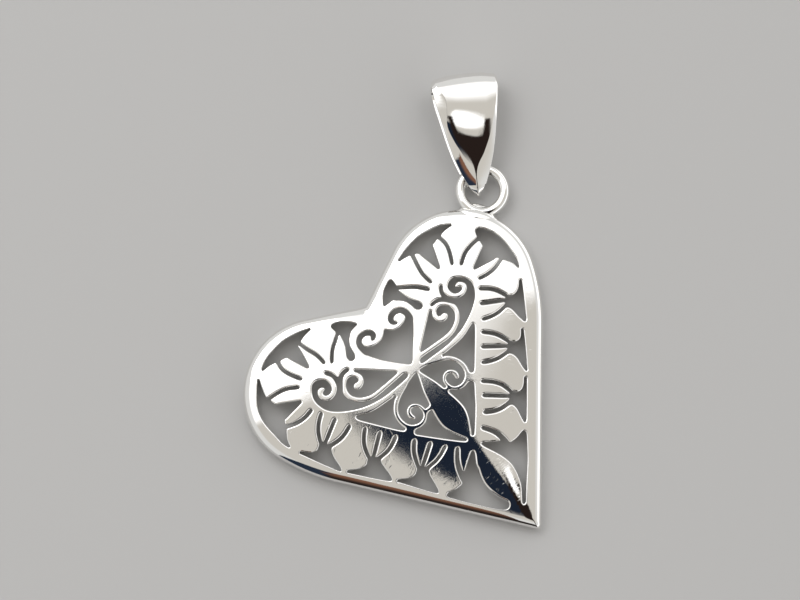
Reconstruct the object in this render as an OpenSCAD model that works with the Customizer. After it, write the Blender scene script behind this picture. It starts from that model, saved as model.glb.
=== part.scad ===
// Openwork silver heart pendant with a soldered jump ring and a folded, tapered bail.
// Millimetres. The pendant lies on its back on z = 0 and the bail points along +Y.
// Ornament is drawn in the heart's own frame: s to the right, t towards the cleft,
// with the origin where the scrolls meet, and the heart is then turned on its side.

/* [Heart outline] */
// Radius of each rounded lobe
lobe_radius = 7.6; // [7.4:0.1:8.2]
// Sideways distance of a lobe's centre from the axis
lobe_offset = 9; // [8.8:0.1:9.6]
// Height of a lobe's centre above the middle of the ornament
lobe_rise = 4; // [3.6:0.1:4.4]
// Radius of the slower bend that follows each lobe towards the point
bend_radius = 19.4; // [14:0.2:24]
// How far below the middle the two straight sides would meet
point_drop = 20.3; // [19.8:0.1:21.2]
// Radius that rounds the point of the heart
point_round = 0.4; // [0.2:0.1:1.2]
// Height of the cleft above the middle
cleft_height = 8.1; // [7.9:0.1:8.6]

/* [Heart plate] */
// Height of the domed front above the surface that the heart lies on
heart_height = 2.6; // [2.3:0.1:3.4]
// Thickness of the domed sheet
sheet = 1.1; // [0.8:0.1:1.3]
// Width of the rolled edge that the heart rests on
foot_width = 1.1; // [0.8:0.1:1.2]
// Turn of the heart, from upright to the way it hangs from its lobe
heart_turn = 38; // [30:1:45]

/* [Ornament] */
// Width of the slits sawn between the petals' leaves
slit = 0.33; // [0.28:0.01:0.4]
// Share of the saw's drift between the two halves, 0 for a heart that is the same on both sides
drift = 1; // [0:0.1:1]

/* [Jump ring] */
// Outer diameter of the jump ring
ring_diameter = 5.5; // [5.2:0.1:5.8]
// Diameter of its wire
ring_wire = 1.04; // [0.9:0.02:1.1]
// Height of the wire's middle above the resting surface
ring_level = 1.2; // [1.15:0.01:1.25]

/* [Bail] */
// Length of the bail from its tip to its fold
bail_length = 12.5; // [11:0.1:13]
// Outer height of the fold
bail_height = 4.2; // [4:0.1:4.8]
// Height of the front just above the tip
bail_tip_height = 1.7; // [1.6:0.05:2]
// Thickness of the back and the fold
bail_wall = 0.55; // [0.5:0.05:0.6]
// Thickness of the front, measured straight up
bail_front = 0.65; // [0.6:0.05:0.7]
// Lean of the bail from the vertical
bail_turn = 7.2; // [5:0.2:10]

/* [Hidden] */

// Columns of a table of places
S = 0;
T = 1;
// Further columns of the side fans' table: the fan's turn, and how far apart the two halves' fans stray
TURN = 2;
APART = 3;
// Columns of a table of the plate's heights: distance in from the outline, level
INSET = 0;
LEVEL = 1;

// Where the slower bend starts, seen from the lobe's centre, and the bend's own centre
lobe = [lobe_offset, lobe_rise];
bend_start = -20;
bend_middle = lobe - (bend_radius - lobe_radius) * [cos(bend_start), sin(bend_start)];
// How far round the lobe the first point after the bend lies
lobe_step = 8;
// Steps of the outline round the point, along the bend and round the lobe, and the point's least radius
point_steps = 2;
bend_steps = 4;
lobe_steps = 16;
least_round = 0.05;
// Directions of the outline's straight stretches, from the horizontal
side_angle = 90 - atan(bend_middle[S] / (bend_middle[T] + point_drop))
    - asin(bend_radius / norm([bend_middle[S], bend_middle[T] + point_drop]));
top_angle = asin(lobe_radius / norm([lobe_offset, cleft_height - lobe_rise]))
    - atan((cleft_height - lobe_rise) / lobe_offset);

// The front's fall towards the edge: distance in from the outline, depth below the front
EDGE = [
    [0, heart_height], [0.05, 1.9], [0.16, 1.5], [0.36, 1.15], [0.7, 0.82],
    [1.2, 0.6], [2, 0.42], [3.6, 0.22], [5.6, 0.08], [7.2, 0]];
// Insets at which the hollow back is drawn, and its steep inner step
BACK = [1.6, 2.2, 3.6, 5.6, 7.1];
back_step = 0.12;

// The saw's drift: height, and how far the left half strays outward and upward, the right half
// straying as far the other way
STRAY = [
    [-17.5, [0.15, 0]], [-12, [0.28, -0.16]], [-9, [0, 0]], [-7, [-0.08, -0.25]],
    [-4.5, [0.2, -0.26]], [-2, [0.26, -0.24]], [0, [0.14, -0.1]], [3, [0.05, -0.08]],
    [5, [0.1, 0.1]], [9, [0.18, 0]]];
// Half the width of the finest nick that is kept
speck = 0.02;
// Distance from the axis at which the drift is at its full size
settled = 1.5;
// Further drift of single cuts: the top of the first crown slit, the top of the shoulder gap, and
// the fans' edge along the rim, as a share of how far the fan strays
crown_drift = 0.2;
shoulder_drift = [-0.45, 0.7];
rim_share = -1.75;
// Columns of the drift's table and of the leaves' tables
HEIGHT = 0;
WAY = 1;
HALF = 1;

// Place of the ring's middle in the heart's frame
ring_place = [16.56, 10.16];
// Where the solder sits on the lobe, seen from the lobe's centre, the half sizes of its round mound
// out from the lobe, along the edge and up, and how far above the resting surface it starts
solder_angle = atan((ring_place[T] - lobe[T]) / (ring_place[S] - lobe[S]));
solder = [0.75, 2, 1.62];
solder_foot = 0.3;
// How far a cutter passes the faces that it cuts
beyond = 1;
// How far the pendant reaches each way, and the middle of its whole outline, which becomes the origin
function reach_towards(way) = max([for (p = outline(0)) p * way]);
left_reach = reach_towards([-cos(heart_turn), sin(heart_turn)]);
right_reach = reach_towards([cos(heart_turn), -sin(heart_turn)]);
low_reach = reach_towards([-sin(heart_turn), -cos(heart_turn)]);
bail_place = [6.4, 17.55, 0];
high_reach = bail_place[1] + bail_length * cos(bail_turn);
row_shift = [(left_reach - right_reach) / 2, (low_reach - high_reach) / 2, 0];

// The bail's side view: where the fold starts and how far it reaches, the rounding of the tip,
// and the hollow that holds the ring
fold_reach = 2;
fold_start = bail_length - fold_reach;
fold_crown = 0.55;
tip_reach = 0.85;
tip_hollow = 1.5;
hollow_reach = 0.5;
// Steps of the side view along the back and the front, and round the fold and the tip
back_steps = 8;
front_steps = 10;
fold_turn = 22.5;
tip_turn = 30;
// Share of the strip's thickness that the side facets take off, the share of their width that
// they keep on the back, and half the least width of the flat between them
facet_depth = 0.5;
back_facet = 0.25;
least_flat = 0.06;
// Columns: distance from the tip, half width, width of a side facet
ALONG = 0;
HALF_WIDTH = 1;
FACET = 2;
STRIP = [
    [0, 0.22, 0.16], [1, 0.78, 0.7], [2, 1.3, 1.22], [3, 1.68, 1.5], [4, 2, 1.2],
    [5.5, 2.4, 0.85], [8, 2.86, 0.7], [10.2, 3.26, 0.9], [12, 3.36, 1.0]];

// The fans sawn between the side petals, from the lobe down to the point
FANS = [[11.95, -0.4, 7, 0], [9.12, -4.35, 0, -0.17], [6.02, -8.26, 0, -0.07]];
// The two leaves on the axis: height, half width
UPPER_LEAF = [
    [-0.3, 0.12], [-0.6, 0.2], [-1.5, 0.53], [-2.4, 0.85], [-3.7, 1.14], [-4.6, 1.34],
    [-5.5, 1.47], [-6.3, 1.46], [-7.1, 1.22], [-7.9, 0.8], [-8.8, 0.3], [-9.2, 0.1]];
LOWER_LEAF = [
    [-9.6, 0.4], [-10.2, 0.54], [-11, 0.9], [-11.8, 1.27], [-12.6, 1.56], [-13.4, 1.7],
    [-14.2, 1.62], [-15.1, 1.38], [-15.7, 1.12], [-16.1, 0.86], [-16.6, 0.5], [-17.1, 0.14]];
// Edge of the lowest gaps along the rim, up from the point: on the right half, on the left half
RIGHT = 0;
LEFT = 1;
TIP_EDGE = [
    [[0.1, -17.28], [1.05, -16.5]], [[0.34, -17.32], [1.4, -16.68]], [[0.5, -17.15], [1.75, -16.5]],
    [[1.5, -15.95], [2.3, -15.95]], [[3.2, -14], [3.75, -14.2]], [[4.82, -11.8], [5.4, -12]]];

// A smooth curve through the rows of a table, with some steps to each span
function bend(a, b, c, d, u) = 0.5 * (2 * b + (c - a) * u
    + (2 * a - 5 * b + 4 * c - d) * u * u + (3 * b - a - 3 * c + d) * u * u * u);
function curve(rows, steps = 2) = let (last = len(rows) - 1) concat(
    [for (i = [0:last - 1], k = [0:steps - 1])
        bend(rows[max(i - 1, 0)], rows[i], rows[i + 1], rows[min(i + 2, last)], k / steps)],
    [rows[last]]);

// Where the saw really went for a place on the pattern. $side is 1 on the left, -1 on the right
function stray(t) = [for (axis = [S, T])
    lookup(t, [for (row = STRAY) [row[HEIGHT], row[WAY][axis]]])];
function sawn(p) = [p[S], p[T]]
    + drift * $side * min(1, abs(p[S]) / settled) * stray(p[T]);
function sawn_all(places) = [for (p = places) sawn(p)];

// Outline of a tapering cut with round ends, from rows of place and width
function across(c, i) = let (
    d = c[min(i + 1, len(c) - 1)] - c[max(i - 1, 0)],
    n = norm([d[S], d[T]])) [-d[T] / n, d[S] / n];
function cut_side(c, i, angle = 0) = let (
    n = across(c, i), w = c[i][2] / 2,
    r = [n[S] * cos(angle) + n[T] * sin(angle), n[T] * cos(angle) - n[S] * sin(angle)])
    [c[i][S], c[i][T]] + r * w;
function cut_outline(rows, steps = 2) = let (c = curve(rows, steps), last = len(c) - 1) concat(
    [for (i = [0:last]) cut_side(c, i)],
    [for (a = [60, 120]) cut_side(c, last, a)],
    [for (i = [last:-1:0]) cut_side(c, i, 180)],
    [for (a = [240, 300]) cut_side(c, 0, a)]);

// One outline of the heart, set in from the edge by d
function point_radius(d) = max(point_round - d, least_round);
function arc(middle, radius, from, to, turns) = [for (i = [0:turns])
    let (a = from + (to - from) * i / turns) middle + radius * [cos(a), sin(a)]];
function half_outline(d) = let (
    tip_level = (point_radius(d) + d) / cos(side_angle) - point_drop) concat(
    arc([0, tip_level], point_radius(d), -90, side_angle - 90, point_steps),
    arc(bend_middle, bend_radius - d, side_angle - 90, bend_start, bend_steps),
    arc(lobe, lobe_radius - d, bend_start + lobe_step, 90 + top_angle, lobe_steps));
function outline(d) = let (half = half_outline(d), last = len(half) - 1) concat(
    half, [[0, cleft_height - d / cos(top_angle)]],
    [for (i = [last:-1:1]) [-half[i][S], half[i][T]]]);
function front_height(d) = heart_height - lookup(d, EDGE);

// A closed form whose rings follow the heart's outline: rows of inset and height
module pillow(rows) {
    rings = [for (row = rows) outline(row[INSET])];
    count = len(rings[0]);
    top = len(rows) - 1;
    points = [for (i = [0:top], p = rings[i]) [p[S], p[T], rows[i][LEVEL]]];
    sides = [for (i = [0:top - 1], k = [0:count - 1]) let (
        a = i * count + k, b = i * count + (k + 1) % count)
        each [[a, a + count, b], [b, a + count, b + count]]];
    polyhedron(points, concat(sides,
        [[for (k = [0:count - 1]) k]],
        [[for (k = [count - 1:-1:0]) top * count + k]]), convexity = 6);
}

module plate() {
    difference() {
        pillow([for (row = EDGE) [row[INSET], front_height(row[INSET])]]);
        pillow(concat(
            [[foot_width, -beyond],
                [foot_width + back_step, front_height(BACK[0]) - sheet - back_step]],
            [for (d = BACK) [d, front_height(d) - sheet]]));
    }
}

// Height of the bail's front at a distance from its tip
function bail_rise(v) = bail_height
    - (bail_height - bail_tip_height) * pow((fold_start - v) / fold_start, 2);
// One loop of the bail's side view: along the back, round the fold, down the front, round the tip
function side_loop(tip_middle, reach, base, fold, under) = let (
    fold_level = (bail_rise(fold_start) - under + base) / 2,
    fold_rise = fold_level - base,
    tip_level = (bail_rise(tip_middle) - under + base) / 2,
    tip_rise = tip_level - base) concat(
    [for (i = [0:back_steps - 1])
        [tip_middle + (fold_start - tip_middle) * i / back_steps, base]],
    [for (a = [-90:fold_turn:90]) [fold_start + fold * cos(a), fold_level + fold_rise * sin(a)]],
    [for (i = [1:front_steps])
        let (v = fold_start - (fold_start - tip_middle) * i / front_steps)
        [v, bail_rise(v) - under]],
    [for (a = [90 + tip_turn:tip_turn:270 - tip_turn])
        [tip_middle + reach * cos(a), tip_level + tip_rise * sin(a)]]);
// Half the bail's width, and the width of its slanting side facets, along its length
function half_width(v) = lookup(v, [for (row = STRIP) [row[ALONG], row[HALF_WIDTH]]]);
function facet_width(v) = lookup(v, [for (row = STRIP) [row[ALONG], row[FACET]]]);
// Eight corners of the strip's section: the crowned fold stands a little past its corners
function strip_section(out, in) = let (
    past = fold_crown * max(0, out[0] - fold_start) / fold_reach,
    side = out * (1 - facet_depth) + in * facet_depth,
    share = out[1] > bail_tip_height / 2 ? 1 : back_facet,
    wide = half_width(side[0]),
    flat = max(half_width(out[0]) - share * facet_width(out[0]), least_flat))
    [[-half_width(in[0]), in[0] - past, in[1]], [0, in[0], in[1]],
     [half_width(in[0]), in[0] - past, in[1]],
     [wide, side[0] - past, side[1]],
     [flat, out[0] - past, out[1]], [0, out[0], out[1]], [-flat, out[0] - past, out[1]],
     [-wide, side[0] - past, side[1]]];

// A sawn cut that bends and tapers through rows of place and width
module cut(rows) {
    polygon(sawn_all(cut_outline(rows)));
}

// A sawn gap with the given outline
module gap(places) {
    polygon(sawn_all(places));
}

// A sawn slit of even width through a few places
module slit_through(places) {
    cut([for (p = places) [p[S], p[T], slit]]);
}

// A straight cut that tapers from one place and width to another
module wedge(from, from_width, to, to_width) {
    hull() {
        translate(sawn(from)) circle(d = from_width, $fn = 12);
        translate(sawn(to)) circle(d = to_width, $fn = 8);
    }
}

// A leaf on the axis, from its table of half widths
module leaf(rows) {
    edge = curve([for (row = rows) [row[HALF], row[HEIGHT]]]);
    foot = rows[len(rows) - 1][HEIGHT];
    polygon(concat(edge, [[-beyond, foot], [-beyond, rows[0][HEIGHT]]]));
}

// The gap beside the cleft, kept clear of the round land about the cleft's scroll
module cleft_gap() {
    difference() {
        union() {
            cut([[1.5, 6.75, 0.2], [2.3, 7.3, 0.9], [3.1, 7.75, 1.35], [3.6, 8.4, 0.6]]);
            cut([[3.1, 7.3, 1.2], [3.45, 6.4, 0.75], [3.9, 5.5, 0.6], [4.25, 4.75, 0.85]]);
            slit_through([[3.6, 7.6], [4.95, 6.7], [5.6, 6.08], [6.05, 5.5]]);
        }
        translate(sawn([1.8, 5])) circle(r = 1.97, $fn = 40);
    }
}

// The gap above the top petals' leaves
module crown_gap() {
    cut([[5.6, 9.62, 0.12], [6.8, 9.72, 0.7], [8.4, 9.55, 1.6], [9.9, 9.55, 1.25],
        [11.1, 9.52, 0.66], [12.05, 9.2, 0.12]]);
    wedge([8.42, 8.8], 1.55, [8.22, 6.5], 0.24);
    strayed = crown_drift * drift * $side;
    slit_through([[7.25 + strayed, 9.3], [6.98 + strayed, 8.2], [6.67 + strayed / 2, 7.05],
        [6.7, 5.95]]);
    slit_through([[10.15, 9.2], [10.35, 8.2], [10.1, 7.2], [9.5, 6.05]]);
}

// The gap beyond the outer petals' leaves
module shoulder_gap() {
    top = [13.2, 8.15] + shoulder_drift * drift * $side;
    cut([[top[S], top[T], 0.12], [13.75, 7.1, 0.85], [14, 5.9, 1.75], [14.15, 4.5, 1.9],
        [14.45, 3.2, 1.15], [14.65, 2.3, 0.55], [14.55, 1.45, 0.12]]);
    wedge([13.25, 4.72], 1.75, [10.93, 4.3], 0.24);
    slit_through([[13.4, 6.5], [12.3, 6.42], [11.2, 6.15], [10.2, 5.5]]);
    slit_through([[13.9, 3.45], [12.7, 3], [11.6, 2.92], [10.7, 3.1]]);
}

// One fan between two side petals, from the place and turn of its middle
module side_fan(fan) {
    strayed = fan[APART] * drift * $side;
    middle = fan[S] + strayed;
    rim = rim_share * strayed;
    function placed(p) = [
        middle + p[S] * cos(fan[TURN]) - p[T] * sin(fan[TURN]),
        fan[T] + p[S] * sin(fan[TURN]) + p[T] * cos(fan[TURN])];
    function all_placed(places) = [for (p = places) placed(p)];
    gap(all_placed(concat(
        [[2.34 + rim, 0.7], [-0.4 + rim, -2.96]],
        curve([[-0.52 + rim, -2.8], [-0.55 + rim / 2, -2.1], [-0.5, -1.3], [-0.6, -0.7],
            [-0.85, -0.3]]),
        [[-0.2, 0.35]],
        curve([[0.2, 0.3], [0.5, -0.02], [1, -0.02], [1.5 + rim / 2, 0.22],
            [2.05 + rim, 0.72]]))));
    slit_through(all_placed([[-1.52, 2.85], [-0.85, 2.2], [-0.35, 1.4], [-0.06, 0.4]]));
    wedge(placed([-2.42, 1.66]), slit, placed([-0.2, 0]), slit);
    slit_through(all_placed([[-3.4, 0.4], [-2.6, -0.02], [-1.7, -0.26], [-0.5, -0.25]]));
}

// The gap between the lower leaf and the last side petal
module tip_gap() {
    edge = curve([for (row = TIP_EDGE) (row[RIGHT] + row[LEFT]) / 2
        + (row[LEFT] - row[RIGHT]) / 2 * drift * $side]);
    difference() {
        union() {
            polygon(concat(edge, sawn_all([[4.95, -11.6], [4, -11.86], [3.1, -11.86],
                [2.5, -11.1], [1.4, -10.6]]), [[0.1, -15]]));
            wedge([0.62, -10.12], 0.34, [1.97, -11.6], 1.34);
        }
        leaf(LOWER_LEAF);
    }
    cut([[1.6, -8.85, 0.32], [2.15, -9.55, 0.36], [2.6, -10.4, 0.46], [2.78, -11.6, 0.6]]);
}

// The open field between the two long scrolls above the side petals
module upper_field() {
    gap(concat(
        [[0.8, 0.05]],
        curve([[1, -0.16], [3, -0.24], [4.5, -0.2], [6, 0.08], [7, 0.46], [8, 0.97], [9, 1.7],
            [9.55, 2.4], [9.82, 3.3], [9.7, 4.15], [9.3, 4.72], [8.7, 4.96], [8.1, 4.85],
            [7.6, 4.4]]),
        [[6.72, 4], [6.2, 3.7], [5.6, 3.3]],
        [[4.84, 3.64], [4.6, 3.5], [1.6, 0.98], [1.02, 0.26]]));
}
module upper_scrolls() {
    cut([[7.75, 5.1, 0.6], [7.42, 4.65, 0.6], [7.3, 4.1, 0.62], [7.45, 3.5, 0.56],
        [7.85, 3.1, 0.52], [8.4, 2.97, 0.56], [8.9, 3.18, 0.52], [9.04, 3.62, 0.54],
        [8.8, 4.02, 0.48], [8.45, 3.96, 0.42]]);
    cut([[0.9, 0.62, 0.5], [2, 0.53, 0.46], [3.5, 0.45, 0.48], [4.8, 0.42, 0.5],
        [5.6, 0.64, 0.48], [6.3, 1.05, 0.5], [6.8, 1.7, 0.5], [6.93, 2.35, 0.54],
        [6.72, 2.95, 0.5], [6.25, 3.42, 0.46], [5.65, 3.6, 0.46], [5.1, 3.35, 0.5],
        [4.82, 2.8, 0.52], [4.98, 2.3, 0.55], [5.35, 2.16, 0.72], [5.65, 2.22, 0.78]]);
}
module upper_gap() {
    difference() {
        upper_field();
        upper_scrolls();
    }
    cut([[7.22, 5, 0.34], [6.87, 4.5, 0.34], [6.8, 3.9, 0.4]]);
    cut([[5.28, 3.98, 0.33], [5.8, 4.04, 0.36], [6.42, 3.78, 0.4], [6.9, 3.25, 0.44],
        [7.25, 2.75, 0.36]]);
}

// The open field under the long scroll, down to the upper leaf's point
module lower_field() {
    gap(concat(
        [[0, -0.4], [0.3, -0.42], [1.2, -0.6], [3.35, -0.86]],
        curve([[3.5, -0.82], [5, -0.77], [6, -0.63], [6.9, -0.3], [7.5, -0.05]]),
        [[7.55, -0.35], [3.85, -5], [2.25, -6.95], [0.55, -8.85], [0, -8.85]]));
}
module lower_scroll() {
    cut([[1.5, -0.5, 0.5], [2.6, -0.9, 0.55], [3.45, -1.42, 0.5], [4, -2.1, 0.5],
        [4.2, -2.85, 0.5], [4.1, -3.6, 0.52], [3.7, -4.2, 0.54], [3, -4.52, 0.5],
        [2.3, -4.42, 0.46], [1.85, -4, 0.4], [1.7, -3.3, 0.38], [1.95, -2.75, 0.36],
        [2.45, -2.53, 0.38], [2.93, -2.75, 0.44], [3.08, -3.22, 0.52], [2.95, -3.55, 0.46]]);
    gap([[3.74, -3.74], [4.35, -3.95], [4.75, -4.6], [3.9, -4.9], [3.4, -4.4]]);
    wedge([1.2, -3.85], 0.5, [1.7, -3.9], 0.42);
}
module lower_gap() {
    difference() {
        lower_field();
        leaf(UPPER_LEAF);
        lower_scroll();
    }
}

// Half of the kite on the axis, and the channel that winds into the cleft's scroll
module kite_gap() {
    gap([[0, 0.5], [0.12, 0.6], [1, 1.6], [2, 2.72], [2.7, 3.7], [3, 4.3], [2.6, 4.7],
        [2.15, 4.4], [1.5, 4.23], [0.8, 4.3], [0.3, 4.65], [0, 5.05]]);
    cut([[2.74, 4.2, 0.6], [2.86, 4.9, 0.56], [2.7, 5.45, 0.5], [2.22, 5.8, 0.5],
        [1.65, 5.8, 0.5], [1.18, 5.48, 0.5], [1.14, 5.08, 0.42], [1.45, 4.84, 0.32]]);
}

module half_ornament() {
    cleft_gap();
    crown_gap();
    shoulder_gap();
    for (fan = FANS) side_fan(fan);
    tip_gap();
    upper_gap();
    lower_gap();
    kite_gap();
}

// Both halves, without the specks and nicks that are finer than a saw leaves
module ornament() {
    offset(delta = speck) offset(delta = -2 * speck) offset(delta = speck) {
        half_ornament($side = -1);
        mirror([1, 0]) half_ornament($side = 1);
    }
}

// The wire ring, and the mound of solder that joins it to the heart's edge
module jump_ring() {
    translate([ring_place[S], ring_place[T], ring_level])
        rotate_extrude($fn = 40)
            translate([(ring_diameter - ring_wire) / 2, 0]) circle(d = ring_wire, $fn = 12);
    translate([lobe[S], lobe[T], 0]) rotate(solder_angle) translate([lobe_radius, 0, 0])
        intersection() {
            scale(solder) sphere(r = 1, $fn = 20);
            translate([-solder[0], -solder[1], solder_foot]) cube(2 * solder);
        }
}

module heart() {
    color("silver") translate(row_shift) rotate(heart_turn) {
        difference() {
            plate();
            translate([0, 0, -beyond]) linear_extrude(heart_height + 2 * beyond) ornament();
        }
        jump_ring();
    }
}

// The bail as a folded strip, seen from the side as two loops of places along it and up
module bail() {
    outer = side_loop(tip_reach, tip_reach, 0, fold_reach, 0);
    inner = side_loop(tip_hollow, hollow_reach, bail_wall, fold_reach - bail_wall, bail_front);
    count = len(outer);
    columns = 8;
    points = [for (i = [0:count - 1]) each strip_section(outer[i], inner[i])];
    sides = [for (i = [0:count - 1], k = [0:columns - 1]) let (
        a = i * columns, b = (i + 1) % count * columns, n = (k + 1) % columns)
        each [[a + k, b + k, a + n], [a + n, b + k, b + n]]];
    color("gainsboro") translate(row_shift) translate(bail_place) rotate(bail_turn)
        polyhedron(points, sides, convexity = 6);
}

heart();
bail();
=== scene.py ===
"""An openwork silver heart pendant with its jump ring and folded bail, lying on a plain pale floor.

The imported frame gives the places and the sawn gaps. The heart is modelled in its own frame of s and t,
in millimetres, as the part's source draws it, and then laid in the row's frame in metres.
"""
from __future__ import annotations

import logging
import math
from dataclasses import dataclass, field
from enum import Enum
from functools import cached_property
from typing import Any, Iterable

import bmesh
import bpy
from mathutils import Matrix, Vector
from mathutils.bvhtree import BVHTree
from mathutils.geometry import intersect_line_line_2d

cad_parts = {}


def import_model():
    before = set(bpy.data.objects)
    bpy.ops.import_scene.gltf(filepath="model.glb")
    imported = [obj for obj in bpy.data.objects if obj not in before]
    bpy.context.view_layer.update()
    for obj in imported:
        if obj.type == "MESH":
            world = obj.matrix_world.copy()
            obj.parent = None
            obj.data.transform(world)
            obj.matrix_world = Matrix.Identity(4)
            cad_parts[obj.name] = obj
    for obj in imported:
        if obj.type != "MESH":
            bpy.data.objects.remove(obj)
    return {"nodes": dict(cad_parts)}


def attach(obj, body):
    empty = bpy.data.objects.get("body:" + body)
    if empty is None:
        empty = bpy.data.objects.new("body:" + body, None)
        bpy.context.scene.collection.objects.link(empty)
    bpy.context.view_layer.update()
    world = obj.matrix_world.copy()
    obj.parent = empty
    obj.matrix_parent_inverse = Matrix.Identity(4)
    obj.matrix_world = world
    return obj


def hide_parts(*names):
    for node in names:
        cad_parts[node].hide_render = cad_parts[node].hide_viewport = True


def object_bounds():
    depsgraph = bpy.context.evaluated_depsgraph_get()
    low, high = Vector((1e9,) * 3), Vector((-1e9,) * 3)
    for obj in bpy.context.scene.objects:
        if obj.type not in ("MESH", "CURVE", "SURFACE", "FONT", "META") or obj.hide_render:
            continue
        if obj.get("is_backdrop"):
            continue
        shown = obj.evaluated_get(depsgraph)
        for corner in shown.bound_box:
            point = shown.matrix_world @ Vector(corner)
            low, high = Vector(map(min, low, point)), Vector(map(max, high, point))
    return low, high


log = logging.getLogger("heart_pendant")

MM = 0.001
# How near to a cutting plane a vertex counts as on it, in millimetres
ON_PLANE = 1e-5
Number = float | int
Colour = tuple[float, float, float, float]


# Shader expressions

@dataclass(frozen=True)
class Wire:
    """One shader socket. In an expression it adds the Math nodes that the expression needs."""

    bench: "Bench"
    socket: Any

    def _math(self, operation: str, left: Any, right: Any = 0.0) -> "Wire":
        """The result of one Math node on two values or wires."""
        node = self.bench.node("ShaderNodeMath", {"operation": operation}, {0: left, 1: right})
        return self.bench.wire(node)

    def __add__(self, other: Any) -> "Wire":
        """Sum."""
        return self._math("ADD", self, other)

    def __radd__(self, other: Any) -> "Wire":
        """Sum, from the right."""
        return self._math("ADD", other, self)

    def __sub__(self, other: Any) -> "Wire":
        """Difference."""
        return self._math("SUBTRACT", self, other)

    def __rsub__(self, other: Any) -> "Wire":
        """Difference, from the right."""
        return self._math("SUBTRACT", other, self)

    def __mul__(self, other: Any) -> "Wire":
        """Product."""
        return self._math("MULTIPLY", self, other)

    def __rmul__(self, other: Any) -> "Wire":
        """Product, from the right."""
        return self._math("MULTIPLY", other, self)

    def __pow__(self, other: Any) -> "Wire":
        """Power."""
        return self._math("POWER", self, other)

    def __rpow__(self, other: Any) -> "Wire":
        """Power, from the right."""
        return self._math("POWER", other, self)

    def above(self, start: Number, end: Number) -> "Wire":
        """A soft step from 0 at start to 1 at end; it falls where end is below start."""
        node = self.bench.node(
            "ShaderNodeMapRange", {"interpolation_type": "SMOOTHSTEP"},
            {"Value": self, "From Min": start, "From Max": end, "To Min": 0.0, "To Max": 1.0})
        return self.bench.wire(node)

    def least(self, other: Any) -> "Wire":
        """The smaller of the two."""
        return self._math("MINIMUM", self, other)

    def most(self, other: Any) -> "Wire":
        """The larger of the two."""
        return self._math("MAXIMUM", self, other)


@dataclass
class Bench:
    """The node tree of one material or world."""

    tree: bpy.types.NodeTree

    def node(self, kind: str, settings: dict[str, Any], values: dict[Any, Any]) -> Any:
        """Adds a node.

        Args:
            kind: the node's type.
            settings: its own properties, set first; "ramp" holds a colour ramp's stops.
            values: a value or a wire for each named or numbered socket.

        Returns:
            The new node.
        """
        made = self.tree.nodes.new(kind)
        for name, value in settings.items():
            if name == "ramp":
                self._set_ramp(made.color_ramp, value)
            else:
                setattr(made, name, value)
        for name, value in values.items():
            socket = made.inputs[name]
            if isinstance(value, Wire):
                self.tree.links.new(value.socket, socket)
            else:
                socket.default_value = value
        return made

    def wire(self, node: Any, output: Any = 0) -> Wire:
        """One output of a node, as a wire."""
        return Wire(self, node.outputs[output])

    def mix(self, share: Any, first: Any, second: Any) -> Wire:
        """A mix of two colours."""
        node = self.node("ShaderNodeMix", {"data_type": "RGBA"}, {0: share, 6: first, 7: second})
        return self.wire(node, 2)

    def noise(self, vector: Any, scale: Number, detail: Number = 2.0, rough: Number = 0.5) -> Wire:
        """Noise between 0 and 1 over a vector."""
        node = self.node("ShaderNodeTexNoise", {},
                         {"Vector": vector, "Scale": scale, "Detail": detail, "Roughness": rough})
        return self.wire(node, 0)

    def stretched(self, vector: Any, scale: tuple, turn: Number = 0.0) -> Wire:
        """A vector turned about the vertical and scaled along each axis."""
        node = self.node("ShaderNodeMapping", {"vector_type": "TEXTURE"},
                         {"Vector": vector, "Rotation": (0.0, 0.0, math.radians(turn)),
                          "Scale": scale})
        return self.wire(node)

    @staticmethod
    def _set_ramp(ramp: Any, stops: tuple[tuple[float, Colour], ...]) -> None:
        """Puts the stops on a colour ramp.

        Args:
            ramp: the ramp.
            stops: a place and a colour for each stop.
        """
        while len(ramp.elements) < len(stops):
            ramp.elements.new(1.0)
        for element, (place, colour) in zip(ramp.elements, stops):
            element.position = place
            element.color = colour


# Finishes

def blank_material(name: str) -> tuple[bpy.types.Material, Bench]:
    """A material that has no nodes yet.

    Args:
        name: the material's name.

    Returns:
        The material, and the bench for its nodes.
    """
    made = bpy.data.materials.new(name)
    made.use_nodes = True
    made.node_tree.nodes.clear()
    return made, Bench(made.node_tree)


@dataclass(frozen=True)
class Strokes:
    """One direction of polishing scratches: how they are stretched and turned, and how fine they are."""

    stretch: tuple[float, float, float]
    turn: float
    scale: float


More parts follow.
